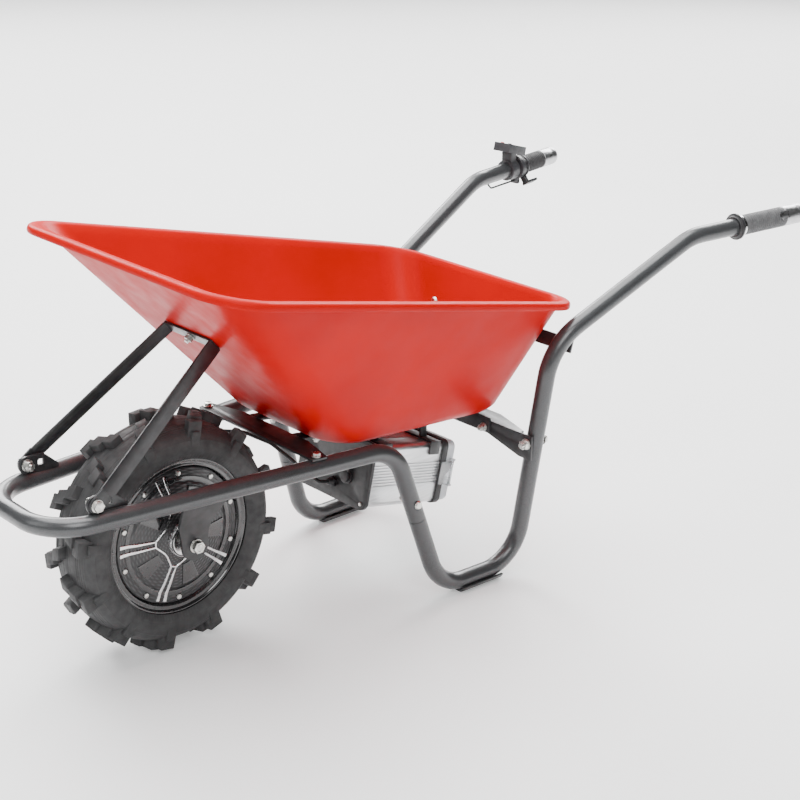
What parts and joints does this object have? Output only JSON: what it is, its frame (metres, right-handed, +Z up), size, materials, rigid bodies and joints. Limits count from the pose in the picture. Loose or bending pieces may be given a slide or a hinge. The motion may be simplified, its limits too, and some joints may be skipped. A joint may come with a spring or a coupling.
{
  "type": "power wheelbarrow",
  "caption": "Powered wheelbarrow with a deep tub on a bent tube frame, a hub motor in its single front wheel, a battery box under the tub and a thumb throttle.",
  "frame": {"origin": "on the ground, under the middle of the whole machine", "axes": "+X back towards the handles, +Y to the right of the person pushing, +Z up"},
  "size_m": [1.5616, 0.6836, 0.694],
  "materials": {
    "tub_plastic": "satin red moulded polyethylene",
    "frame_paint": "dark grey satin powder coat",
    "black_paint": "satin black powder coat",
    "zinc": "zinc plated",
    "tyre_rubber": "dark grey rubber",
    "tube_rubber": "soft black rubber",
    "wheel_paint": "gloss black",
    "magnet": "nickel plated",
    "core_steel": "laminated steel",
    "copper": "enamelled copper wire",
    "cable_jacket": "black cable jacket",
    "black_plastic": "black moulded plastic",
    "box_aluminium": "brushed and clear anodised",
    "door_plastic": "frosted translucent plastic",
    "grip_rubber": "ribbed soft rubber",
    "cap_silver": "silver painted plastic",
    "display_plastic": "dark grey plastic",
    "screen_glass": "dark display window",
    "red_key": "red key"
  },
  "bodies": {
    "frame": {"tray": "tub_plastic", "tray_bolts": "zinc", "front_frame": "frame_paint", "handle_tube_left": "frame_paint", "handle_tube_right": "frame_paint", "skid_plates": "black_paint", "front_brace": "black_paint", "brace_brackets": "black_paint", "brace_bolts": "zinc", "front_cross_plate": "black_paint", "cross_plate_bolts": "zinc", "rear_crossmember": "black_paint", "crossmember_bolts": "zinc", "upper_crossbar": "black_paint", "leg_joint_bolts": "zinc", "dropout_left": "black_paint", "dropout_right": "black_paint", "axle": "zinc", "axle_nuts": "zinc", "axle_washers": "zinc", "stator_core": "core_steel", "stator_windings": "copper", "motor_cable": "cable_jacket", "cable_clips": "black_plastic", "box_body": "box_aluminium", "box_front_plate": "black_plastic", "box_gasket": "tube_rubber", "box_screws": "zinc", "box_bezel": "black_plastic", "door_hinge_pin": "zinc", "battery_pack": "black_plastic", "controller": "box_aluminium", "battery_dock": "black_plastic", "charge_port": "black_plastic", "cable_gland": "black_plastic", "box_hangers": "black_paint", "grip_left": "grip_rubber", "grip_right": "grip_rubber", "grip_end_caps": "cap_silver", "grip_collars": "black_plastic", "throttle_housing": "black_plastic", "display_housing": "display_plastic", "display_screen": "screen_glass", "throttle_cable": "cable_jacket"},
    "wheel": {"tyre": "tyre_rubber", "inner_tube": "tube_rubber", "valve_stem": "tube_rubber", "rim_shell": "wheel_paint", "motor_cover_left": "wheel_paint", "motor_cover_right": "wheel_paint", "cover_screws": "zinc", "magnet_ring": "magnet", "wheel_bearings": "zinc"},
    "door": {"box_door": "door_plastic"},
    "latch": {"door_latch": "door_plastic"},
    "port_cap": {"charge_cap": "tube_rubber"},
    "throttle": {"throttle_lever": "black_plastic"},
    "power_key": {"power_button": "red_key"},
    "mode_key": {"mode_button": "display_plastic"}
  },
  "joints": [
    {"name": "wheel_spin", "type": "hinge", "parent": "frame", "child": "wheel", "pos_m": [-0.48952, 0, 0.207], "axis": [0, 1, 0], "continuous": true},
    {"name": "door_hinge", "type": "hinge", "parent": "frame", "child": "door", "pos_m": [0.06801, 0.1013, 0.18826], "axis": [0.1994, 0, 0.9799], "range_deg": [0, 100]},
    {"name": "latch_hinge", "type": "hinge", "parent": "door", "child": "latch", "pos_m": [0.08455, -0.0975, 0.18489], "axis": [0.1994, 0, 0.9799], "range_deg": [0, 70]},
    {"name": "cap_hinge", "type": "hinge", "parent": "frame", "child": "port_cap", "pos_m": [-0.12037, -0.038, 0.22965], "axis": [0, 1, 0], "range_deg": [0, 110]},
    {"name": "throttle_turn", "type": "hinge", "parent": "frame", "child": "throttle", "pos_m": [0.65385, 0.30533, 0.61061], "axis": [0.9886, 0.1463, 0.0366], "range_deg": [0, 40], "stiffness_Nm_per_rad": 0.15, "springref_deg": -28.65},
    {"name": "power_press", "type": "slide", "parent": "frame", "child": "power_key", "axis": [-0.2544, -0.0377, -0.9664], "range_m": [0, 0.0015], "stiffness_N_per_m": 400, "springref_m": -0.002},
    {"name": "mode_press", "type": "slide", "parent": "frame", "child": "mode_key", "axis": [-0.2544, -0.0377, -0.9664], "range_m": [0, 0.0015], "stiffness_N_per_m": 400, "springref_m": -0.002}
  ]
}
